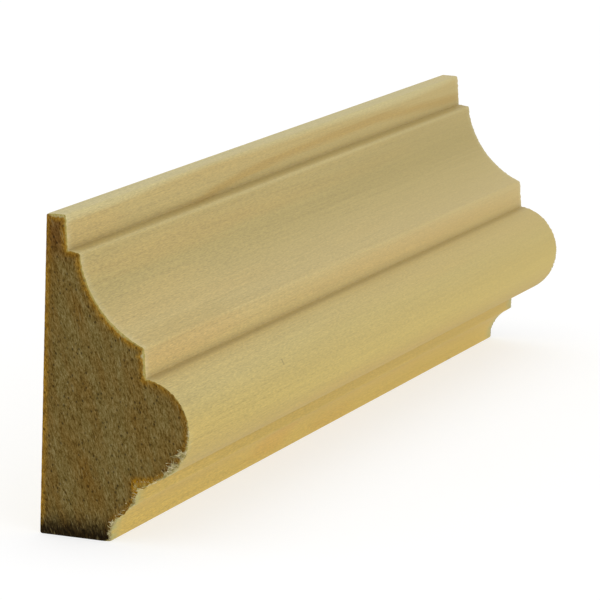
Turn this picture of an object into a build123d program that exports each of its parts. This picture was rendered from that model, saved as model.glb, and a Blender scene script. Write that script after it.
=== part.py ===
from build123d import *
import os
from math import radians, sqrt, tan

# A short length of base cap moulding: one piece of wood, moulded on its front and sawn at both ends.
# X runs along the wood. The flat back faces +Y, the moulded face looks towards -Y, and it stands on its foot.
# The origin is the middle of the space that it fills, at floor level.

# The stock
length = 127.0
height = 34.9
thickness = 17.0            # flat back to the nose of the bead

# The top edge and the narrow fillet below it
top_edge = 2.2              # thickness of the wood at its top
top_fillet = 3.8            # height of that fillet
face_lean = 5.0             # degrees that each upright fillet leans out towards its foot

# The ledge, and the cove that starts from its lip
ledge = 1.45                # depth of the ledge
ledge_slope = 6.0           # degrees that the ledge falls to the front
lip = 0.95                  # height of the ledge's front edge
cove_radius = 12.0

# The bead, with the fillet that stands on it
bead_radius = 5.7
bead_fillet = 3.3           # height of the fillet above the bead
fillet_step = 0.55          # foot of that fillet, in front of the bead's centre

# The neck below the bead, the shallow cove below that, and the foot
neck = 2.5                  # height of the neck
neck_step = 0.3             # neck, behind the bead's centre
foot_cove_rise = 3.2        # height of the lower cove
foot_cove_radius = 4.8
foot_height = 1.1
foot_depth = 8.3            # depth of the flat that it stands on

# The cutters leave each outer corner slightly eased
arris_radius = 0.25


def leaning_out(drop):
    """How far a leaning face comes forward over a drop in height."""
    return drop * tan(radians(face_lean))


def bead_height(step):
    """Height of the bead's round above or below its centre, a step in front of or behind that centre."""
    return sqrt(bead_radius**2 - step**2)


def section():
    """The moulded section, with depth measured out from the flat back and height up from the foot."""
    bead_depth = thickness - bead_radius
    neck_foot = foot_height + foot_cove_rise
    bead_centre = neck_foot + neck + bead_height(neck_step)

    ledge_back = (top_edge + leaning_out(top_fillet), height - top_fillet)
    ledge_front = (ledge_back[0] + ledge, ledge_back[1] - ledge * tan(radians(ledge_slope)))
    cove_top = (ledge_front[0] + leaning_out(lip), ledge_front[1] - lip)
    fillet_foot = (bead_depth + fillet_step, bead_centre + bead_height(fillet_step))
    cove_foot = (fillet_foot[0] - leaning_out(bead_fillet), fillet_foot[1] + bead_fillet)
    nose = (thickness, bead_centre)
    neck_depth = bead_depth - neck_step

    with BuildSketch() as face:
        with BuildLine():
            Polyline((0, 0), (0, height), (top_edge, height), ledge_back, ledge_front, cove_top)
            RadiusArc(cove_top, cove_foot, -cove_radius)
            Line(cove_foot, fillet_foot)
            ThreePointArc(fillet_foot, nose, (neck_depth, neck_foot + neck))
            Line((neck_depth, neck_foot + neck), (neck_depth, neck_foot))
            RadiusArc((neck_depth, neck_foot), (foot_depth, foot_height), -foot_cove_radius)
            Polyline((foot_depth, foot_height), (foot_depth, 0), (0, 0))
        make_face()
        outer_corners = [
            (0, 0),
            (0, height),
            (top_edge, height),
            ledge_front,
            cove_foot,
            (neck_depth, neck_foot),
            (foot_depth, 0),
        ]
        eased = [face.vertices().sort_by_distance((*corner, 0))[0] for corner in outer_corners]
        fillet(eased, radius=arris_radius)
    return face.sketch


def base_cap_moulding():
    """The section run along the wood, standing on its foot and centred on the origin."""
    across = Plane(origin=(-length / 2, thickness / 2, 0), x_dir=(0, -1, 0), z_dir=(-1, 0, 0))
    wood = extrude(across * section(), amount=-length)
    wood.label = "base_cap_moulding"
    return wood


os.makedirs("parts", exist_ok=True)
export_step(base_cap_moulding(), "parts/base_cap_moulding.step")
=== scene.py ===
import random
from math import atan2, ceil, cos, exp, hypot, pi, radians, sin, sqrt, tan

import bmesh
import bpy
from mathutils import Matrix, Vector, kdtree, noise


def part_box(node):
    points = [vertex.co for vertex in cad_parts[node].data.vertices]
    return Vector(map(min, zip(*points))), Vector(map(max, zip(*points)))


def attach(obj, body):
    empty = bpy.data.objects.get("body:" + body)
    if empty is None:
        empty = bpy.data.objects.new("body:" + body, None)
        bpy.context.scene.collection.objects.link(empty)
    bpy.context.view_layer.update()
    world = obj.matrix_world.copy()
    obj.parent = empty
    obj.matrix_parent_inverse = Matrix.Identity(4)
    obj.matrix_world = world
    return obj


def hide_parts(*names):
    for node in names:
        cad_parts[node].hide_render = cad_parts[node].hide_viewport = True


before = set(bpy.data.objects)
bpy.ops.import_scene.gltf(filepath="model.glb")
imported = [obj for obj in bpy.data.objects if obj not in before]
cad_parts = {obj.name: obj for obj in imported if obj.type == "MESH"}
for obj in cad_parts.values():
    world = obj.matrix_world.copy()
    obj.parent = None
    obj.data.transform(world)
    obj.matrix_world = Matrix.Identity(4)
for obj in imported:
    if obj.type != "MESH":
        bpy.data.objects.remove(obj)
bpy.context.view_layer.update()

# Lengths below are in millimetres. A finished mesh is scaled to metres once, by toMetres.
toMetres = 0.001
cadLow, cadHigh = (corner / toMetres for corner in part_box("base_cap_moulding"))
stock = {
    "length": cadHigh.x - cadLow.x,
    "thickness": cadHigh.y - cadLow.y,
    "height": cadHigh.z,
}
nearEnd = cadLow.x      # the sawn end that faces the camera
farEnd = cadHigh.x
backFace = cadHigh.y
print("frame loaded:", stock)


# camera and studio

camera = {
    "azimuth": 69.16,       # degrees, from +Y round to +X
    "elevation": 10.84,     # degrees that it looks down
    "roll": 1.83,
    "distance": 512.2,
    "aim": (0.0, 3.62, 15.37),
    "lens": 256.0,          # a long lens: the far end is only a fifth smaller than the near one
    "clipStart": 0.01,      # in metres
}

studio = {
    "domeLight": 0.92,      # an even white room, so the wood shows at about its own colour
    "keyPower": 0.40,       # watts, one wide soft box low in front
    "keySize": 420.0,
    "keyPlace": (-330.0, -480.0, 150.0),
    "floorSize": 3000.0,
    "floorColour": "#e4e4e4",
    "floorGlow": 0.33,      # the table glows with light of its own: it fills the hollows under the bead, and its shadow stays
    "floorWhite": 0.45,     # how far the camera sees the table as plain white
}


def fromHex(code):
    channels = [int(code[i:i + 2], 16) / 255 for i in (1, 3, 5)]
    return [c / 12.92 if c <= 0.04045 else ((c + 0.055) / 1.055) ** 2.4 for c in channels] + [1.0]


def addNode(tree, kind, inputs=(), **settings):
    # a list fills the inputs that the node shows, in order, and a dictionary fills them by name.
    # An input that is itself a node gets a link from that node's first output.
    node = tree.nodes.new("ShaderNode" + kind)
    for name, value in settings.items():
        setattr(node, name, value)
    if isinstance(inputs, dict):
        filled = [(node.inputs[name], value) for name, value in inputs.items()]
    else:
        filled = list(zip([socket for socket in node.inputs if socket.enabled], inputs))
    for socket, value in filled:
        if isinstance(value, bpy.types.Node):
            value = next(output for output in value.outputs if output.enabled)
        if isinstance(value, bpy.types.NodeSocket):
            tree.links.new(value, socket)
        else:
            socket.default_value = value
    return node


def newMaterial(name):
    material = bpy.data.materials.new(name)
    material.use_nodes = True
    material.node_tree.nodes.clear()
    return material, material.node_tree


def linkPiece(name, data):
    piece = bpy.data.objects.new(name, data)
    bpy.context.scene.collection.objects.link(piece)
    return piece


def makeCamera(view):
    turn, tilt = radians(view["azimuth"]), radians(view["elevation"])
    ahead = Vector((sin(turn) * cos(tilt), cos(turn) * cos(tilt), -sin(tilt)))
    place = Vector(view["aim"]) - ahead * view["distance"]
    upright = ahead.to_track_quat("-Z", "Y").to_matrix().to_4x4()
    rolled = Matrix.Rotation(radians(view["roll"]), 4, "Z")
    data = bpy.data.cameras.new("camera")
    data.lens = view["lens"]
    data.clip_start = view["clipStart"]
    camObject = linkPiece("camera", data)
    camObject.matrix_world = Matrix.Translation(place * toMetres) @ upright @ rolled
    bpy.context.scene.camera = camObject


def seenRays(tree):
    # 1 on a ray that sees the background: straight from the camera, in a gloss or through glass
    rays = addNode(tree, "LightPath").outputs
    seen = rays["Is Camera Ray"]
    for other in ("Is Glossy Ray", "Is Transmission Ray"):
        seen = addNode(tree, "Math", [seen, rays[other]], operation="ADD", use_clamp=True)
    return seen


def makeWorld(room):
    world = bpy.data.worlds.new("whiteRoom")
    bpy.context.scene.world = world
    world.use_nodes = True
    tree = world.node_tree
    tree.nodes.clear()
    light = addNode(tree, "Background", {"Color": (1, 1, 1, 1), "Strength": room["domeLight"]})
    white = addNode(tree, "Background", {"Color": (1, 1, 1, 1), "Strength": 1.0})
    both = addNode(tree, "MixShader", [seenRays(tree), light, white])
    addNode(tree, "OutputWorld", [both])


def makeFloor(room):
    bm = bmesh.new()
    bmesh.ops.create_grid(bm, x_segments=1, y_segments=1, size=room["floorSize"] / 2 * toMetres)
    mesh = bpy.data.meshes.new("floor")
    bm.to_mesh(mesh)
    bm.free()
    floor = linkPiece("floor", mesh)
    # a matt white table that glows with light of its own: an even ground with no gloss, whose glow lights the
    # wood from below, and which the camera sees nearly white
    material, tree = newMaterial("glowingWhiteTable")
    matt = addNode(tree, "BsdfDiffuse", [fromHex(room["floorColour"])])
    glow = addNode(tree, "Emission", {"Strength": room["floorGlow"]})
    table = addNode(tree, "AddShader", [matt, glow])
    white = addNode(tree, "Emission", {"Strength": 1.0})
    share = addNode(tree, "Math", [seenRays(tree), room["floorWhite"]], operation="MULTIPLY")
    both = addNode(tree, "MixShader", [share, table, white])
    addNode(tree, "OutputMaterial", [both])
    mesh.materials.append(material)


def makeKeyLight(room):
    lamp = bpy.data.lights.new("softBox", "AREA")
    lamp.shape = "DISK"
    lamp.size = room["keySize"] * toMetres
    lamp.energy = room["keyPower"]
    box = linkPiece("softBox", lamp)
    place = Vector(room["keyPlace"])
    turned = (-place).to_track_quat("-Z", "Y").to_matrix().to_4x4()
    box.matrix_world = Matrix.Translation(place * toMetres) @ turned


scene = bpy.context.scene
scene.view_settings.view_transform = "Standard"
makeCamera(camera)
makeWorld(studio)
makeFloor(studio)
makeKeyLight(studio)
print("camera, room and floor made")


# the moulded section, drawn in the plane of the near end

section = {
    "topEdge": 2.2,
    "topFillet": 3.8,
    "faceLean": 5.0,        # degrees
    "ledge": 1.45,
    "ledgeSlope": 6.0,      # degrees
    "lip": 0.95,
    "coveRadius": 12.0,
    "beadRadius": 5.7,
    "beadFillet": 3.3,
    "filletStep": 0.55,
    "neck": 2.5,
    "neckStep": 0.3,
    "footCoveRise": 3.2,
    "footCoveRadius": 4.8,
    "footHeight": 1.1,
    "footDepth": 8.3,
    "arris": 0.25,          # how far back each outer corner is eased
    "arcStep": 0.5,         # length of one chord of an arc
    "outlineStep": 0.04,    # between the points on the outline that places on the wood are measured from
    "grid": 0.15,           # size of the cells of the sawn ends
    "slice": 0.12,          # the wood is cut across for its mesh this near to an end,
    "sliceGrowth": 1.16,    # then at steps that grow by this,
    "slicedReach": 30.0,    # as far in as this
    "sharp": 24.0,          # degrees: a sharper edge than this isn't shaded smooth
    # painted shade in the two inner corners, where shade falls: the corner, how far out of it the shade lies,
    # and its reach
    "cornerShade": (("ledgeBack", 0.16, 0.42), ("filletFoot", 0.32, 0.50)),
}


def atSection(depth, height):
    return Vector((nearEnd, backFace - depth, height))


def sectionCorners(size):
    # the corners of the section as (depth from the back, height), from the top down
    lean, slope = tan(radians(size["faceLean"])), tan(radians(size["ledgeSlope"]))
    beadDepth = stock["thickness"] - size["beadRadius"]
    neckDepth = beadDepth - size["neckStep"]
    neckFoot = size["footHeight"] + size["footCoveRise"]
    neckTop = neckFoot + size["neck"]
    beadCentre = neckTop + sqrt(size["beadRadius"] ** 2 - size["neckStep"] ** 2)
    filletFoot = (beadDepth + size["filletStep"],
                  beadCentre + sqrt(size["beadRadius"] ** 2 - size["filletStep"] ** 2))
    ledgeBack = (size["topEdge"] + size["topFillet"] * lean, stock["height"] - size["topFillet"])
    ledgeFront = (ledgeBack[0] + size["ledge"], ledgeBack[1] - size["ledge"] * slope)
    return {
        "ledgeBack": ledgeBack,
        "ledgeFront": ledgeFront,
        "coveTop": (ledgeFront[0] + size["lip"] * lean, ledgeFront[1] - size["lip"]),
        "coveFoot": (filletFoot[0] - size["beadFillet"] * lean, filletFoot[1] + size["beadFillet"]),
        "filletFoot": filletFoot,
        "beadCentre": (beadDepth, beadCentre),
        "neckTop": (neckDepth, neckTop),
        "neckFoot": (neckDepth, neckFoot),
        "footTop": (size["footDepth"], size["footHeight"]),
    }


def hollowCentre(a, b, radius):
    # centre of the hollow arc from a to b: it lies outside the wood
    middle, along = (a + b) / 2, b - a
    reach = sqrt(radius ** 2 - along.length_squared / 4)
    return middle + along.cross(Vector((1, 0, 0))).normalized() * reach


def drawRun(bm, last, point):
    new = bmesh.ops.extrude_vert_indiv(bm, verts=[last])["verts"][0]
    new.co = point
    return new


def drawArc(bm, last, centre, end, step):
    a, b = last.co - centre, end - centre
    turn = atan2(a.cross(b).x, a.dot(b))
    steps = max(2, ceil(abs(turn) * a.length / step))
    spun = bmesh.ops.spin(bm, geom=[last], cent=centre, axis=(1, 0, 0), angle=turn, steps=steps)
    return [g for g in spun["geom_last"] if isinstance(g, bmesh.types.BMVert)][0]


def drawSection(bm, size, corners):
    at = {name: atSection(*place) for name, place in corners.items()}
    first = bm.verts.new(atSection(0, 0))
    backTop = drawRun(bm, first, atSection(0, stock["height"]))
    frontTop = drawRun(bm, backTop, atSection(size["topEdge"], stock["height"]))
    pen = drawRun(bm, frontTop, at["ledgeBack"])
    ledgeFront = drawRun(bm, pen, at["ledgeFront"])
    pen = drawRun(bm, ledgeFront, at["coveTop"])
    centre = hollowCentre(at["coveTop"], at["coveFoot"], size["coveRadius"])
    coveFoot = drawArc(bm, pen, centre, at["coveFoot"], size["arcStep"])
    pen = drawRun(bm, coveFoot, at["filletFoot"])
    nose = atSection(stock["thickness"], corners["beadCentre"][1])
    pen = drawArc(bm, pen, at["beadCentre"], nose, size["arcStep"])
    pen = drawArc(bm, pen, at["beadCentre"], at["neckTop"], size["arcStep"])
    neckFoot = drawRun(bm, pen, at["neckFoot"])
    centre = hollowCentre(at["neckFoot"], at["footTop"], size["footCoveRadius"])
    pen = drawArc(bm, neckFoot, centre, at["footTop"], size["arcStep"])
    footFront = drawRun(bm, pen, atSection(size["footDepth"], 0))
    bm.edges.new((footFront, first))
    bmesh.ops.contextual_create(bm, geom=bm.edges[:])
    bmesh.ops.bevel(bm, geom=[first, backTop, frontTop, ledgeFront, coveFoot, neckFoot, footFront],
                    offset=size["arris"], affect="VERTICES", segments=3, profile=0.5, material=-1)


def walkOutline(bm, size):
    # close points round the section, each with the way into the wood and how far round it lies,
    # starting from the top back corner and going down the moulded front
    face = bm.faces[:][0]
    places = [loop.vert.co.copy() for loop in face.loops]
    start = min(range(len(places)), key=lambda i: (places[i] - atSection(0, stock["height"])).length)
    places = places[start:] + places[:start]
    inwardTurn = 1
    if places[1].y > places[-1].y:
        places = places[:1] + places[:0:-1]
        inwardTurn = -1
    walked, found = 0.0, []
    for here, there in zip(places, places[1:] + places[:1]):
        along = there - here
        inward = face.normal.cross(along).normalized() * inwardTurn
        pieces = max(1, ceil(along.length / size["outlineStep"]))
        for i in range(pieces):
            found.append((here + along * i / pieces, inward, walked + along.length * i / pieces))
        walked += along.length
    tree = kdtree.KDTree(len(found))
    for i, (point, _, _) in enumerate(found):
        tree.insert((0, point.y, point.z), i)
    tree.balance()
    return tree, found


# the two sawn ends: rough cut fibres, an eased edge, and what the saw tore out along the lower front.
# A way round is measured along the section, from the top back corner down the moulded front.

sawCut = {
    "seed": 7,
    "farSeed": 47,
    "skin": 0.10,           # the cut lies this far inside the stock's length, and only loose fibres pass it
    "roughness": 0.06,      # height of the torn fibre ends
    "lean": 18.0,           # degrees that the fibre rows lean off upright
    "tuft": (0.28, 0.90),       # size of a tuft of cut fibres, across and along its row
    "fineTuft": (0.17, 0.40),
    "nose": 30.0,           # way round to the nose of the bead,
    "underBead": 36.0,      # to its underside,
    "frontEnd": 49.4,       # and to the foot, where the moulded front ends
    "marked": 3.5,          # the saw left no mark further in than this
    "eased": 1.4,           # inside this distance of the edge the whole face moves with it
    "ragged": (0.09, 0.13),     # how far the edge wanders in from the section, above and below the bead
    "raggedStep": 0.35,
    "raggedRun": 0.4,
    "frayed": (0.2, 0.6),       # how much the width of a tear varies, above and below the nose
    "frayStep": 0.16,
    "tearRun": 0.7,         # a tear runs this many times its own width along the wood,
    "pushedRun": 1.2,       # and pushed-out fibres run this far
    "bleachedRun": (1.7, 3.0),      # the planed face is paler this near the cut, above and below the bead,
    "bleachedStep": 0.5,
    # by this share, by the way round
    "bleached": [(0.0, 0.22), (23.5, 0.22), (24.5, 0.03), (30.5, 0.03), (32.5, 0.36), (35.8, 0.36),
                 (36.2, 0.95), (200.0, 0.95)],
    # width of the torn, pale edge of each end, by the way round. Below nought the fibres were pushed out.
    "nearEdge": [
        (0.0, 0.10), (0.6, 0.30), (2.0, 0.28), (2.6, 0.14), (5.0, 0.13), (6.0, 0.04), (7.2, 0.04),
        (8.0, 0.11), (14.5, 0.16), (17.5, 0.22), (18.5, 0.10), (19.8, 0.10), (20.4, 0.25), (20.9, 0.40),
        (21.2, 0.18), (22.8, 0.22), (23.6, 0.05), (25.0, 0.04), (30.6, 0.06), (31.9, 0.20), (33.5, 0.14),
        (33.75, 0.60), (34.1, 0.78), (34.4, 0.40), (34.6, 0.16), (35.1, 0.14), (35.4, 0.60), (35.9, 0.82),
        (36.2, 0.76), (36.6, 0.50), (37.1, 0.52), (37.4, 0.20), (38.3, 0.03), (41.1, 0.03), (41.5, -0.12),
        (41.9, -0.22), (42.3, -0.10), (42.6, 0.14), (43.0, 0.28), (43.8, 0.20), (44.2, -0.10),
        (44.9, -0.30), (45.3, -0.24), (46.0, 0.10), (46.5, 0.30), (47.3, 0.18), (47.9, 0.33), (48.3, 0.16),
        (48.9, 0.22), (49.3, 0.04), (49.6, 0.0), (200.0, 0.0),
    ],
    "farEdge": [
        (0.0, 0.10), (0.6, 0.24), (2.0, 0.22), (2.8, 0.10), (8.0, 0.08), (20.6, 0.12), (21.2, 0.30),
        (22.0, 0.10), (27.2, 0.06), (28.0, 0.26), (28.8, 0.08), (32.6, 0.12), (33.6, 0.50), (34.6, 0.24),
        (35.8, 0.44), (37.0, 0.10), (42.8, 0.06), (43.8, 0.16), (46.8, 0.06), (47.8, 0.28), (48.8, 0.10),
        (49.6, 0.0), (200.0, 0.0),
    ],
    # a flap of stained fibres, pushed down out of the corner below the bead at the near end
    "flap": {
        "place": (11.45, 6.75),     # depth from the back, height
        "way": (0.30, -0.70),
        "reach": 0.95,
        "run": 2.6,
        "folded": 0.6,      # how far the stained edge is carried with it
    },
}


def stations(size):
    # where the wood is cut across for its mesh: close together at the ends, wide apart between them
    places, step, x = [], size["slice"], size["slice"]
    while x < size["slicedReach"]:
        places.append(x)
        step *= size["sliceGrowth"]
        x += step
    middle = nearEnd + stock["length"] / 2
    return sorted([nearEnd + x for x in places] + [middle] + [farEnd - x for x in places])


def cutAcross(bm, point, normal):
    bmesh.ops.bisect_plane(bm, geom=bm.verts[:] + bm.edges[:] + bm.faces[:], dist=1e-4,
                           plane_co=point, plane_no=normal)


def readTable(table, place):
    # the value there, on a straight line between the two nearest entries
    for (a, value), (b, valueAfter) in zip(table, table[1:]):
        if place <= b:
            return value + (valueAfter - value) * (place - a) / (b - a)


def edgeWidth(around, edge, cut, seed):
    # width of the torn edge there, frayed over a few tenths of a millimetre
    width = readTable(edge, around)
    if width < 0.02:
        return width
    fray = noise.noise(Vector((around / cut["frayStep"], seed, 0.5)))
    frayed = cut["frayed"][around > cut["nose"]]
    return max(0.0, width * (1 + frayed * fray) + 0.03 * fray)


def fibreRow(y, z, cut, seed):
    # height of the cut fibres at a place on the end, 0 in a pit and 1 on a tuft
    turn = radians(cut["lean"])
    across = -y * cos(turn) + z * sin(turn)
    along = -y * sin(turn) - z * cos(turn)
    coarse = noise.noise(Vector((across / cut["tuft"][0], along / cut["tuft"][1], seed)))
    fine = noise.noise(Vector((across / cut["fineTuft"][0], along / cut["fineTuft"][1], seed + 9)))
    return min(1.0, max(0.0, 0.5 + 0.55 * coarse + 0.35 * fine))


def fade(distance, reach):
    return max(0.0, 1 - distance / reach)


def workEnds(bm, tree, outline, corners, cut):
    names = ("rimDistance", "tearWidth", "torn", "tuft", "around", "hollow")
    layers = {name: bm.verts.layers.float.new(name) for name in names}
    cornerShading = [(corners[name][0] + out, corners[name][1], reach) for name, out, reach in section["cornerShade"]]
    flap = cut["flap"]
    flapPlace = atSection(*flap["place"])
    flapWay = Vector((0, -flap["way"][0], flap["way"][1]))
    for vert in bm.verts:
        fromNear, fromFar = vert.co.x - nearEnd, farEnd - vert.co.x
        isNear = fromNear < fromFar
        along = min(fromNear, fromFar)
        _, i, distance = tree.find((0, vert.co.y, vert.co.z))
        place, inward, around = outline[i]
        vert[layers["around"]] = around
        depth, height = backFace - place.y, place.z
        # painted shade in the two inner corners, kept in the hollow attribute
        shadeThere = [exp(-(hypot(depth - d, height - h) / reach) ** 2) for d, h, reach in cornerShading]
        vert[layers["hollow"]] = max(shadeThere)
        if along > cut["marked"]:
            continue
        seed = cut["seed"] if isNear else cut["farSeed"]
        low = around > cut["underBead"]
        width = edgeWidth(around, cut["nearEdge"] if isNear else cut["farEdge"], cut, seed)
        torn = max(0.0, width)
        run = torn * cut["tearRun"]
        atFront = min(1.0, max(0.0, cut["frontEnd"] - around))
        # the edge wanders in, or is pushed out
        rag = 0.5 + noise.noise(Vector((around / cut["raggedStep"], seed, 3)))
        inPlane = min(0.0, width) * fade(along, cut["pushedRun"])
        inPlane += atFront * cut["ragged"][low] * rag * fade(along, cut["raggedRun"])
        patch = 0.0
        if isNear:
            flat = Vector((0, vert.co.y - flapPlace.y, vert.co.z - flapPlace.z))
            patch = exp(-(flat.length / flap["reach"]) ** 2)
        if along < 1e-3:
            # on the cut itself
            row = fibreRow(vert.co.y, vert.co.z, cut, seed)
            sink = cut["skin"] + cut["roughness"] * (0.6 - row)
            if distance < torn:
                sink += run * (1 - distance / torn) ** 0.8
            vert[layers["rimDistance"]] = max(0.0, distance - flap["folded"] * patch)
            vert[layers["tearWidth"]] = torn
            vert[layers["tuft"]] = row
        else:
            edgeShift = cut["skin"] + run
            sink = edgeShift * fade(along, 2.4 * edgeShift)
            paler = readTable(cut["bleached"], around)
            paler *= 1 + noise.noise(Vector((around / cut["bleachedStep"], seed, along)))
            vert[layers["torn"]] = atFront * paler * fade(along, cut["bleachedRun"][low]) ** 1.3
        vert.co += inward * inPlane * fade(distance, cut["eased"])
        vert.co += flapWay * patch * fade(along, flap["run"]) ** 1.5
        vert.co.x += max(0.0, sink) * (1 if isNear else -1)


def makeMoulding(corners):
    bm = bmesh.new()
    drawSection(bm, section, corners)
    bm.normal_update()
    tree, outline = walkOutline(bm, section)
    cell = section["grid"]
    for i in range(1, ceil(stock["height"] / cell)):
        cutAcross(bm, (0, 0, i * cell), (0, 0, 1))
    for i in range(1, ceil(stock["thickness"] / cell)):
        cutAcross(bm, (0, backFace - i * cell, 0), (0, 1, 0))
    print("section drawn:", len(bm.faces), "cells, outline", round(outline[-1][2], 1), "mm")
    run = bmesh.ops.extrude_face_region(bm, geom=bm.faces[:], use_keep_orig=True)
    moved = [g for g in run["geom"] if isinstance(g, bmesh.types.BMVert)]
    bmesh.ops.translate(bm, verts=moved, vec=(stock["length"], 0, 0))
    for x in stations(section):
        cutAcross(bm, (x, 0, 0), (1, 0, 0))
    bmesh.ops.recalc_face_normals(bm, faces=bm.faces[:])
    for face in bm.faces:
        face.smooth = True
        face.material_index = 1 if abs(face.normal.x) > 0.9 else 0
    for edge in bm.edges:
        if len(edge.link_faces) == 2 and edge.calc_face_angle() > radians(section["sharp"]):
            edge.smooth = False
    workEnds(bm, tree, outline, corners, sawCut)
    bmesh.ops.scale(bm, vec=(toMetres,) * 3, verts=bm.verts[:])
    bmesh.ops.triangulate(bm, faces=[f for f in bm.faces if len(f.verts) > 4])
    mesh = bpy.data.meshes.new("mouldingWood")
    bm.to_mesh(mesh)
    bm.free()
    return linkPiece("mouldingWood", mesh), outline


corners = sectionCorners(section)
wood, outline = makeMoulding(corners)
print("moulding made:", len(wood.data.polygons), "faces")


# loose fibres on the cut edges: short fuzz from the nose of the bead down, and longer splinters where it tore

fibres = {
    "seed": 21,
    "tipShare": 0.12,       # width of a tip, as a share of the root's
    "flatness": 0.6,
    "front": (30.0, 48.8),      # way round that grows fuzz,
    "low": 33.0,            # and from here on the edge is torn open too
    "lowEvery": 3,          # one in this many of the fuzz is kept for below there
    "tornFrom": 0.26,       # the edge counts as torn where it is wider than this
    # two kinds at each end. The depths are how far inside the stock's length a root and a tip lie.
    "fuzz": {
        "count": 420,
        "length": (0.12, 0.42),
        "width": (0.04, 0.08),
        "bow": 0.03,
        "inset": 0.03,          # of a root, from the edge
        "inward": (0.1, 1.0),       # how far it leans in from there, as a share of its length
        "sideways": 0.7,
        "rootDepth": (0.15, 0.30),
        "tipDepth": (0.02, 0.10),
    },
    "tears": {
        "count": 80,
        "length": (0.3, 0.8),
        "growth": (0.4, 0.8),       # times this, and this much more for each mm of the tear's width
        "width": (0.05, 0.10),
        "bow": 0.06,
        "inset": (0.35, 0.80),      # as a share of the tear's width
        "inward": (0.3, 1.0),
        "sideways": 0.8,
        "rootDepth": (0.04, 0.10),
        "tipDepth": (0.01, 0.07),
    },
    # the splinters that stand out at the near end: from (depth, height) to (depth, height), width and bow
    "splinters": [
        ((15.68, 10.85), (16.80, 10.44), 0.15, 0.10),
        ((15.90, 10.60), (16.60, 10.20), 0.12, -0.08),
        ((14.44, 9.30), (15.76, 9.52), 0.13, -0.12),
        ((14.68, 8.80), (15.60, 9.20), 0.15, 0.08),
        ((14.75, 8.70), (15.15, 8.35), 0.20, 0.05),
        ((14.60, 8.45), (15.30, 8.55), 0.17, 0.10),
        ((13.43, 7.85), (14.40, 7.66), 0.11, -0.20),
        ((13.75, 7.45), (14.20, 7.55), 0.12, 0.08),
        ((13.44, 7.15), (12.59, 6.68), 0.16, 0.06),
        ((12.99, 6.95), (12.25, 6.55), 0.13, -0.08),
        ((12.42, 6.55), (11.73, 6.38), 0.16, 0.05),
        ((11.85, 6.15), (11.15, 6.27), 0.14, 0.08),
        ((11.15, 5.55), (10.65, 5.68), 0.17, -0.05),
        ((11.05, 5.00), (10.50, 5.16), 0.14, 0.06),
        ((9.75, 3.10), (9.30, 3.15), 0.16, 0.05),
        ((9.35, 2.65), (8.87, 2.74), 0.13, 0.06),
        ((8.85, 2.10), (8.45, 2.22), 0.15, -0.05),
        ((10.91, 6.50), (11.80, 6.10), 0.10, 0.22),
        ((11.05, 5.90), (11.60, 6.05), 0.13, 0.10),
        ((9.91, 4.42), (10.90, 4.48), 0.11, -0.26),
        ((10.40, 3.90), (10.72, 3.95), 0.13, 0.05),
        ((9.60, 3.62), (9.95, 3.70), 0.12, 0.06),
        ((9.05, 3.15), (9.42, 3.16), 0.12, 0.05),
        ((8.40, 2.45), (8.72, 2.10), 0.12, 0.08),
        ((7.85, 1.75), (8.38, 1.50), 0.13, 0.10),
        ((8.02, 1.10), (8.28, 0.75), 0.12, 0.06),
    ],
    "splinterDepth": (0.09, 0.03),      # how far inside the stock's length its root and its tip lie
}


def addFibre(bm, look, root, tip, width, bow, spin):
    # one tapering fibre from root to tip, bent sideways in the middle and flattened
    along = tip - root
    made = bmesh.ops.create_cone(bm, cap_ends=True, segments=5, radius1=width / 2,
                                 radius2=width * look["tipShare"], depth=along.length)["verts"]
    edges = list({e for v in made for e in v.link_edges})
    faces = list({f for v in made for f in v.link_faces})
    geom = made + edges + faces
    for share in (-0.2, 0.15):
        geom = bmesh.ops.bisect_plane(bm, geom=geom, dist=1e-5, plane_co=(0, 0, share * along.length),
                                      plane_no=(0, 0, 1))["geom"]
    verts = [g for g in geom if isinstance(g, bmesh.types.BMVert)]
    for vert in verts:
        share = vert.co.z / along.length
        vert.co.y *= look["flatness"]
        vert.co.x += bow * (1 - 4 * share * share)
    turn = along.to_track_quat("Z", "X").to_matrix().to_4x4() @ Matrix.Rotation(spin, 4, "Z")
    bmesh.ops.transform(bm, matrix=Matrix.Translation((root + tip) / 2) @ turn, verts=verts)


def growFibre(bm, look, kind, dice, root, inward, length, end, inside):
    # from its root it leans in and to either side, close to the plane of the cut
    aside = Vector((1, 0, 0)).cross(inward)
    root.x = end + inside * dice.uniform(*kind["rootDepth"])
    leanIn = dice.uniform(*kind["inward"])
    leanAside = dice.uniform(-kind["sideways"], kind["sideways"])
    tip = root + (inward * leanIn + aside * leanAside) * length
    tip.x = end + inside * dice.uniform(*kind["tipDepth"])
    width = dice.uniform(*kind["width"])
    bow = dice.uniform(-kind["bow"], kind["bow"])
    addFibre(bm, look, root, tip, width, bow, dice.uniform(0, 2 * pi))


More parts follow.
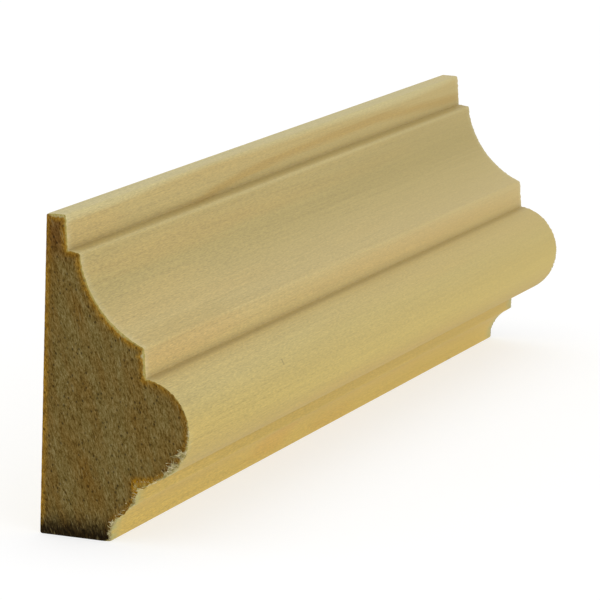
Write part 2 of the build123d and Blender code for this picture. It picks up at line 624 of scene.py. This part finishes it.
def makeFibres(look, cut, outline):
    dice = random.Random(look["seed"])
    bm = bmesh.new()
    fuzz, tears = look["fuzz"], look["tears"]
    front = [o for o in outline if look["front"][0] < o[2] < look["front"][1]]
    low = [o for o in front if o[2] > look["low"]]
    for end, inside, edge, seed in ((nearEnd, 1, cut["nearEdge"], cut["seed"]),
                                    (farEnd, -1, cut["farEdge"], cut["farSeed"])):
        for i in range(fuzz["count"]):
            place, inward, _ = dice.choice(front if i % look["lowEvery"] else low)
            length = dice.uniform(*fuzz["length"])
            growFibre(bm, look, fuzz, dice, place + inward * fuzz["inset"], inward, length, end, inside)
        widths = [(place, inward, edgeWidth(around, edge, cut, seed)) for place, inward, around in low]
        torn = [w for w in widths if w[2] > look["tornFrom"]]
        least, growth = tears["growth"]
        for _ in range(tears["count"]):
            place, inward, width = dice.choice(torn)
            length = dice.uniform(*tears["length"]) * (least + growth * width)
            root = place + inward * width * dice.uniform(*tears["inset"])
            growFibre(bm, look, tears, dice, root, inward, length, end, inside)
    for start, stop, width, bow in look["splinters"]:
        root, tip = atSection(*start), atSection(*stop)
        root.x, tip.x = (nearEnd + depth for depth in look["splinterDepth"])
        addFibre(bm, look, root, tip, width, bow, pi / 2)
    for vert in bm.verts:
        vert.co = [min(max(c, low), high) for c, low, high in zip(vert.co, cadLow, cadHigh)]
    bmesh.ops.recalc_face_normals(bm, faces=bm.faces[:])
    bmesh.ops.scale(bm, vec=(toMetres,) * 3, verts=bm.verts[:])
    mesh = bpy.data.meshes.new("tornFibres")
    bm.to_mesh(mesh)
    bm.free()
    return linkPiece("tornFibres", mesh)


loose = makeFibres(fibres, sawCut, outline)
print("loose fibres made:", len(loose.data.polygons), "faces")


# poplar off the moulder: pale, dry and closed, with short soft fibres along the length and no shine

longGrain = {
    # tone of the board by the way round from the top back corner: dull at the top, with a painted highlight
    # on the eased front arris, olive in the upper cove, pale in its foot, and a clearer yellow from the bead
    # down that is painted warm bounce light
    "tones": [(0, "#c0b279"), (2.3, "#c2b37a"), (2.9, "#b8a262"), (11, "#ad9a5b"), (19, "#c0ac70"),
              (22, "#c1a966"), (27, "#bca967"), (30, "#bba55b"), (32.3, "#bfa857"), (36, "#b99e49"),
              (45, "#c6a94d"), (48.5, "#cdb156"), (51, "#c3ac66"), (92, "#c0b279")],
    "toneWander": 1.6,
    "warm": "#c79f50",
    "warmPatches": (0.52, 0.72, 0, 0.2),        # from what to what of the pattern, and the share there
    # one brown streak of heartwood rises out of the upper inner corner and runs along the top fillet
    "heartwood": {
        "colour": "#ad8c3c",
        "share": 0.6,
        "width": (0.9, 0.1),        # from its soft edge to its full tone
        "starts": (-38.0, -24.0),       # along the piece it comes in here,
        "rises": (-28.0, 47.0),     # rises here, steeply at first,
        "steepness": 5.0,
        "height": 2.2,
        "sinks": (32.0, 62.0),      # and sinks again here
        "level": (3.78, 4.70),      # way round of it before that, and at the far end
        "sway": (0.3, 0.7, -0.2, 0.2),      # up and down with the streaks
    },
    # the colour of the painted shade along the two inner corners
    "cornerShade": "#8a7440",
    "shadeAlong": (-60.0, 60.0, 0.39, 0.27),     # from what place to what place along, and the share there
    "lowerShade": (8.0, 20.0, 1, 1.4),       # the same by the way round: the painted shade is darker in the lower corner
    "torn": ("#d8d3ab", "#aaa568"),     # bleached above the nose of the bead, and greener below it,
    "lowerTorn": (29.0, 34.0, 0, 1),        # by the way round
    # along, way round, half length, half width, colour, share
    "marks": [
        (-34.7, 28.7, 0.22, 0.45, "#6d6238", 0.45),     # a dark fleck on the bead
        (46.0, 48.8, 1.3, 0.40, "#6f6238", 0.40),       # a greenish one on the foot
        (-17.5, 46.4, 7.0, 2.0, "#cc9d3e", 0.36),       # warm stains, on the foot
        (2.0, 47.6, 8.0, 1.1, "#cb9f44", 0.22),
        (-57.0, 4.3, 9.0, 1.5, "#c59c4c", 0.18),        # and on the top fillet
        (-38.0, 9.6, 26.0, 1.6, "#c29b50", 0.20),       # and in the upper cove
        (-52.0, 19.2, 16.0, 1.8, "#b0974f", 0.28),
        (-50.0, 21.3, 16.0, 1.4, "#c79a56", 0.20),      # and on the second fillet
        (24.0, 21.5, 42.0, 1.2, "#c59b58", 0.16),
        (45.0, 10.4, 45.0, 3.4, "#a08d4e", 0.31),       # a dull band in the upper cove
        (-50.0, 35.0, 20.0, 3.5, "#b09548", 0.30),      # and a darker band under the bead: painted shade
        (0.0, 7.1, 95.0, 0.45, "#ddd09a", 0.16),        # the ledge is rubbed a little paler
    ],
    "markEdge": 1.6,        # a mark fades out this far from its middle, squared,
    "fray": (0.3, 0.7, 0.5, 1.5),       # and its edge is frayed by the streaks
    "contrast": (-60.0, 60.0, 0.90, 0.25),      # of the grain, along the piece
    "streakShare": 0.35,        # weight of the streaks in the grain, beside the fibres' 1
    # size in mm along X, Y and Z, lean in degrees, shift in mm, detail, roughness.
    # Real fibres are a few hundredths of a millimetre wide: these are coarser, to show at all.
    "patterns": {
        "patch": ((60.0, 5.0, 5.0), 0.0, 0.0, 1.0, 0.5),
        "streak": ((18.0, 0.24, 0.24), 0.0, 0.0, 2.0, 0.5),
        "fibre": ((0.8, 0.11, 0.11), 0.0, 0.0, 2.0, 0.6),
    },
    "roughness": 0.60,
    "ior": 1.5,
    "specular": 0.5,
    "relief": 0.03,
    "bumpStrength": 0.5,
}


def millimetres(tree):
    place = addNode(tree, "TexCoord").outputs["Object"]
    return addNode(tree, "VectorMath", [place, 1 / toMetres], operation="SCALE")


def patternPlace(tree, size, lean=0.0, shift=0.0):
    # coordinates in which a pattern's cells are this size in mm, leaning over in the plane of the ends
    turned = addNode(tree, "Mapping", {
        "Vector": millimetres(tree), "Rotation": (radians(lean), 0, 0), "Location": (0, shift, 0)})
    return addNode(tree, "VectorMath", [turned, size], operation="DIVIDE")


def makePatterns(tree, patterns):
    found = []
    for size, lean, shift, detail, roughness in patterns.values():
        place = patternPlace(tree, size, lean, shift)
        found.append(addNode(tree, "TexNoise", [place, 1.0, detail, roughness]))
    return found


def finishWood(material, tree, colour, height, look):
    bump = addNode(tree, "Bump", {
        "Height": height, "Strength": look["bumpStrength"], "Distance": look["relief"] * toMetres})
    shader = addNode(tree, "BsdfPrincipled", {
        "Base Color": colour, "Roughness": look["roughness"], "IOR": look["ior"],
        "Specular IOR Level": look["specular"], "Normal": bump})
    addNode(tree, "OutputMaterial", [shader])
    return material


def makeLongGrain(look):
    material, tree = newMaterial("planedPoplar")
    patch, streak, fibre = makePatterns(tree, look["patterns"])
    around, hollow, torn = (addNode(tree, "Attribute", attribute_name=name).outputs["Fac"]
                            for name in ("around", "hollow", "torn"))
    x = addNode(tree, "SeparateXYZ", [millimetres(tree)]).outputs["X"]
    # the board's tone, with a painted highlight on the top arris and painted warm bounce light from the bead
    # down, and warmer patches in it
    whole = look["tones"][-1][0]
    wander = addNode(tree, "MapRange", [patch, 0, 1, -look["toneWander"], look["toneWander"]])
    wandered = addNode(tree, "Math", [around, wander], operation="ADD")
    colour = addNode(tree, "ValToRGB", [addNode(tree, "MapRange", [wandered, 0, whole, 0, 1])])
    stops = colour.color_ramp.elements
    for place, code in look["tones"][1:-1]:
        stops.new(place / whole).color = fromHex(code)
    stops[0].color = fromHex(look["tones"][0][1])
    stops[-1].color = fromHex(look["tones"][-1][1])
    warm = addNode(tree, "MapRange", [patch, *look["warmPatches"]])
    colour = addNode(tree, "Mix", [warm, colour, fromHex(look["warm"])], data_type="RGBA")
    # the streak of heartwood
    heartwood = look["heartwood"]
    rise = addNode(tree, "MapRange", [x, *heartwood["rises"], 0, -heartwood["steepness"]])
    rise = addNode(tree, "Math", [rise], operation="EXPONENT")
    level = addNode(tree, "MapRange", [x, *heartwood["sinks"], *heartwood["level"]])
    course = addNode(tree, "Math", [rise, heartwood["height"], level], operation="MULTIPLY_ADD")
    sway = addNode(tree, "MapRange", [streak, *heartwood["sway"]])
    course = addNode(tree, "Math", [course, sway], operation="ADD")
    away = addNode(tree, "Math", [around, course], operation="SUBTRACT")
    away = addNode(tree, "Math", [away], operation="ABSOLUTE")
    soft = addNode(tree, "MapRange", [away, *heartwood["width"], 0, 1], interpolation_type="SMOOTHSTEP")
    start = addNode(tree, "MapRange", [x, *heartwood["starts"], 0, heartwood["share"]])
    share = addNode(tree, "Math", [soft, start], operation="MULTIPLY")
    colour = addNode(tree, "Mix", [share, colour, fromHex(heartwood["colour"])], data_type="RGBA")
    # marks with frayed edges
    spot = addNode(tree, "CombineXYZ", [x, around])
    fray = addNode(tree, "MapRange", [streak, *look["fray"]])
    for along, wayRound, length, width, code, share in look["marks"]:
        offset = addNode(tree, "VectorMath", [spot, (along, wayRound, 0)], operation="SUBTRACT")
        offset = addNode(tree, "VectorMath", [offset, (length, width, 1)], operation="DIVIDE")
        reach = addNode(tree, "VectorMath", [offset, offset], operation="DOT_PRODUCT")
        reach = addNode(tree, "Math", [reach, fray], operation="MULTIPLY")
        here = addNode(tree, "MapRange", [reach, look["markEdge"], 0, 0, share],
                       interpolation_type="SMOOTHSTEP")
        colour = addNode(tree, "Mix", [here, colour, fromHex(code)], data_type="RGBA")
    # fine grain, lighter and darker than the tone
    contrast = addNode(tree, "MapRange", [x, *look["contrast"]])
    grain = addNode(tree, "Math", [streak, look["streakShare"], fibre], operation="MULTIPLY_ADD")
    grain = addNode(tree, "Math", [grain, 0.5 * (1 + look["streakShare"])], operation="SUBTRACT")
    tone = addNode(tree, "Math", [grain, contrast, 1.0], operation="MULTIPLY_ADD")
    colour = addNode(tree, "VectorMath", [colour, tone], operation="SCALE")
    # painted shade: a soft dark line along each of the two inner corners, where shade falls
    cornerShading = addNode(tree, "MapRange", [x, *look["shadeAlong"]])
    cornerShading = addNode(tree, "Math", [cornerShading, hollow], operation="MULTIPLY")
    lower = addNode(tree, "MapRange", [around, *look["lowerShade"]])
    cornerShading = addNode(tree, "Math", [cornerShading, lower], operation="MULTIPLY")
    colour = addNode(tree, "Mix", [cornerShading, colour, fromHex(look["cornerShade"])], data_type="RGBA")
    # bleached along the cut
    below = addNode(tree, "MapRange", [around, *look["lowerTorn"]])
    bleached = addNode(tree, "Mix", [below, *[fromHex(code) for code in look["torn"]]], data_type="RGBA")
    colour = addNode(tree, "Mix", [torn, colour, bleached], data_type="RGBA")
    height = addNode(tree, "Math", [fibre, streak], operation="ADD")
    return finishWood(material, tree, colour, height, look)


# the same poplar across the grain: it drinks in light and dust, so the sawn end is dark, with open pores

endGrain = {
    "olive": "#6c5c31",
    "brown": "#684f1f",
    "top": "#60401a",
    "light": "#94865a",
    "pore": "#1f1604",
    "rim": "#8f6a1c",
    "shadow": "#5a3a08",    # painted shadow under the fibres that lift out of a tear
    "flap": "#946a08",
    "plain": "#a79a58",     # where the edge is only frayed
    "pale": "#b2aa80",      # where it is torn open
    "foot": "#0e0802",
    "tint": (0.82, 1.0, 1.75),      # a bright fibre is greyer than a dark one
    "tuftShare": 0.1,       # of the carved tufts in the rows, beside the finer pattern
    "flapPlace": 40.5,      # way round of the stained flap
    "darkFootFray": 2.4,        # how far the pattern frays the edge of the dark foot
    # each range: from what to what of what it reads, and what it gives from there to there
    "ranges": {
        "olive": (0.28, 0.60, 0, 1),        # by the growth rings
        "dried": (1.6, 0.3, 0, 0.6),        # by the distance from the edge
        "top": (29.0, 32.5, 0, 0.7),        # by the height
        "clumped": (0, 1, -0.35, 0.35),
        "stain": (0.80, 0, 0, 0.95),        # by the distance from the torn edge
        "ringed": (0.35, 0.60, 0.6, 1),
        "opened": (0.12, 0.35, 0, 1),       # by the width of the tear
        "lowDown": (20.0, 12.0, 0, 1),      # by the height
        "beadDown": (24.0, 27.0, 0, 0.55),      # by the way round
        "front": (50.0, 49.0, 0, 1),
        "offFlap": (2.0, 4.0, 0, 1),        # by the way from the flap
        "onFlap": (2.8, 1.2, 0, 1),
        "darkFoot": (4.6, 1.4, 0, 1),       # by the height
        "nearHalf": (1.0, -1.0, 0, 0.96),       # by the place along
        "rows": (0.30, 0.70, 0.26, 1.70),       # tone, from the pits to the tufts: painted shade in the pits and painted light on the tufts
        "speckled": (0.3, 0.7, 0.80, 1.20),
        "pored": (0.26, 0.08, 0, 0.7),      # by the distance from a pore
        "scratched": (0.64, 0.74, 0, 0.35),
        "wander": (0, 1, -0.22, 0.22),      # of the edge of the planed wood, in mm
        "torn": (0.30, 0.65, 0, 1),     # by the share of the tear's width
        "wide": (0.15, 0.40, 0, 1),     # by its width
        "anyTear": (0.01, 0.06, 0, 1),
        "fuzz": (0.10, -0.10, 0, 1),        # by the distance past the torn edge
        "rowed": (0.34, 0.52, 0.4, 1),
    },
    # size in mm along X, Y and Z, lean in degrees, shift in mm, detail, roughness.
    # The rows, pits and pores are a few times coarser than real ones, to show at all.
    "patterns": {
        "fibre": ((1.0, 0.14, 0.448), 18.0, 0.0, 3.0, 0.7),
        "ring": ((10.0, 1.5, 7.5), 18.0, 0.0, 3.0, 0.55),
        "speckle": ((1.0, 0.11, 0.17), 18.0, 0.0, 1.0, 0.5),
        "clump": ((1.0, 0.45, 0.45), 0.0, 0.0, 2.0, 0.6),
        "scratch": ((1.0, 0.17, 1.25), 18.0, 5.3, 1.0, 0.5),
    },
    "pores": ((20.0, 0.55, 0.77), 18.0),
    "roughness": 0.95,
    "ior": 1.3,
    "specular": 0.2,
    "relief": 0.08,
    "bumpStrength": 0.9,
}


def makeEndGrain(look):
    material, tree = newMaterial("sawnPoplarEnd")
    fibre, ring, speckle, clump, scratch = makePatterns(tree, look["patterns"])
    pores = addNode(tree, "TexVoronoi", [patternPlace(tree, *look["pores"]), 1.0])
    rim, tear, tuft, around = (addNode(tree, "Attribute", attribute_name=name).outputs["Fac"]
                               for name in ("rimDistance", "tearWidth", "tuft", "around"))
    place = addNode(tree, "SeparateXYZ", [millimetres(tree)]).outputs
    x, z = place["X"], place["Z"]
    ranges = look["ranges"]
    olive = addNode(tree, "MapRange", [ring, *ranges["olive"]])
    colour = addNode(tree, "Mix", [olive, fromHex(look["brown"]), fromHex(look["olive"])], data_type="RGBA")
    # the outer millimetre has dried browner than the heart of the piece, and so has the thin top
    outer = addNode(tree, "MapRange", [rim, *ranges["dried"]], interpolation_type="SMOOTHSTEP")
    colour = addNode(tree, "Mix", [outer, colour, fromHex(look["brown"])], data_type="RGBA")
    top = addNode(tree, "MapRange", [z, *ranges["top"]], interpolation_type="SMOOTHSTEP")
    colour = addNode(tree, "Mix", [top, colour, fromHex(look["top"])], data_type="RGBA")
    # stained orange just inside the edge, in clumps, with painted shadow under lifted fibres, and browner
    # round the bead
    clumped = addNode(tree, "MapRange", [clump, *ranges["clumped"]])
    edge = addNode(tree, "Math", [rim, clumped], operation="ADD")
    edge = addNode(tree, "Math", [edge, tear], operation="SUBTRACT")
    stain = addNode(tree, "MapRange", [edge, *ranges["stain"]], interpolation_type="SMOOTHSTEP")
    ringed = addNode(tree, "MapRange", [ring, *ranges["ringed"]])
    stain = addNode(tree, "Math", [stain, ringed], operation="MULTIPLY")
    opened = addNode(tree, "MapRange", [tear, *ranges["opened"]])
    lowDown = addNode(tree, "MapRange", [z, *ranges["lowDown"]])
    # painted shadow where fibres lift out of a wide tear low on the end
    shadowShare = addNode(tree, "Math", [opened, lowDown], operation="MULTIPLY")
    fromFlap = addNode(tree, "Math", [around, look["flapPlace"]], operation="SUBTRACT")
    fromFlap = addNode(tree, "Math", [fromFlap], operation="ABSOLUTE")
    beadDown = addNode(tree, "MapRange", [around, *ranges["beadDown"]])
    atFront = addNode(tree, "MapRange", [around, *ranges["front"]])
    beadDown = addNode(tree, "Math", [beadDown, atFront], operation="MULTIPLY")
    offFlap = addNode(tree, "MapRange", [fromFlap, *ranges["offFlap"]])
    beadDown = addNode(tree, "Math", [beadDown, offFlap], operation="MULTIPLY")
    shadowShare = addNode(tree, "Math", [shadowShare, beadDown], operation="MAXIMUM")
    stainAndShadow = addNode(tree, "Mix", [shadowShare, fromHex(look["rim"]), fromHex(look["shadow"])], data_type="RGBA")
    onFlap = addNode(tree, "MapRange", [fromFlap, *ranges["onFlap"]])
    stainAndShadow = addNode(tree, "Mix", [onFlap, stainAndShadow, fromHex(look["flap"])], data_type="RGBA")
    colour = addNode(tree, "Mix", [stain, colour, stainAndShadow], data_type="RGBA")
    # the near end alone darkens to nearly black towards its foot
    low = addNode(tree, "Math", [fibre, look["darkFootFray"], z], operation="MULTIPLY_ADD")
    darkFoot = addNode(tree, "MapRange", [low, *ranges["darkFoot"]], interpolation_type="SMOOTHSTEP")
    nearHalf = addNode(tree, "MapRange", [x, *ranges["nearHalf"]])
    darkFoot = addNode(tree, "Math", [darkFoot, nearHalf], operation="MULTIPLY")
    colour = addNode(tree, "Mix", [darkFoot, colour, fromHex(look["foot"])], data_type="RGBA")
    # the cut rows of fibres, light on their tufts and dark in their pits: partly the fibres' own colour,
    # partly painted light on the tufts and painted shade in the pits
    tufted = addNode(tree, "Math", [tuft, look["tuftShare"]], operation="MULTIPLY")
    row = addNode(tree, "Math", [fibre, 1 - look["tuftShare"], tufted], operation="MULTIPLY_ADD")
    tone = addNode(tree, "MapRange", [row, *ranges["rows"]])
    speckled = addNode(tree, "MapRange", [speckle, *ranges["speckled"]])
    tone = addNode(tree, "Math", [tone, speckled], operation="MULTIPLY")
    tinted = addNode(tree, "CombineXYZ", [
        addNode(tree, "Math", [tone, power], operation="POWER") for power in look["tint"]])
    colour = addNode(tree, "VectorMath", [colour, tinted], operation="MULTIPLY")
    pore = addNode(tree, "MapRange", [pores, *ranges["pored"]])
    colour = addNode(tree, "Mix", [pore, colour, fromHex(look["pore"])], data_type="RGBA")
    scratched = addNode(tree, "MapRange", [scratch, *ranges["scratched"]])
    colour = addNode(tree, "Mix", [scratched, colour, fromHex(look["light"])], data_type="RGBA")
    # the planed face shows past the edge, soft where it is only frayed and bleached where it is torn open
    wander = addNode(tree, "MapRange", [fibre, *ranges["wander"]])
    wandered = addNode(tree, "Math", [rim, wander], operation="ADD")
    share = addNode(tree, "Math", [tear, 0.02], operation="MAXIMUM")
    share = addNode(tree, "Math", [wandered, share], operation="DIVIDE")
    torn = addNode(tree, "MapRange", [share, *ranges["torn"]])
    wide = addNode(tree, "MapRange", [tear, *ranges["wide"]])
    torn = addNode(tree, "Math", [torn, wide], operation="MULTIPLY")
    planed = addNode(tree, "Mix", [torn, fromHex(look["plain"]), fromHex(look["pale"])], data_type="RGBA")
    past = addNode(tree, "Math", [wandered, tear], operation="SUBTRACT")
    fuzz = addNode(tree, "MapRange", [past, *ranges["fuzz"]])
    anyTear = addNode(tree, "MapRange", [tear, *ranges["anyTear"]])
    fuzz = addNode(tree, "Math", [fuzz, anyTear], operation="MULTIPLY")
    rowed = addNode(tree, "MapRange", [row, *ranges["rowed"]])
    fuzz = addNode(tree, "Math", [fuzz, rowed], operation="MULTIPLY")
    colour = addNode(tree, "Mix", [fuzz, colour, planed], data_type="RGBA")
    height = addNode(tree, "Math", [fibre, pore], operation="SUBTRACT")
    return finishWood(material, tree, colour, height, look)


# torn fibres: dry and bleached, so they look whiter than the face that they came from. Real ones are a little
# translucent; here only their paler colour is given

looseFibre = {
    "colour": "#dccfa6",
    "shade": "#a1965f",
    "lightPart": (0.35, 0.65, 0, 1),        # from what to what of the pattern, and the share there
    "patterns": {
        "mottle": ((0.5, 0.5, 0.5), 0.0, 0.0, 2.0, 0.5),
    },
    "roughness": 0.8,
    "ior": 1.4,
    "specular": 0.5,
    "relief": 0.01,
    "bumpStrength": 0.5,
}


def makeLooseFibre(look):
    material, tree = newMaterial("tornPoplarFibre")
    mottle = makePatterns(tree, look["patterns"])[0]
    light = addNode(tree, "MapRange", [mottle, *look["lightPart"]])
    colour = addNode(tree, "Mix", [light, fromHex(look["shade"]), fromHex(look["colour"])], data_type="RGBA")
    return finishWood(material, tree, colour, mottle, look)


wood.data.materials.append(makeLongGrain(longGrain))
wood.data.materials.append(makeEndGrain(endGrain))
loose.data.materials.append(makeLooseFibre(looseFibre))
for piece in (wood, loose):
    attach(piece, "root")
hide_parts("base_cap_moulding")
print("wood finished")
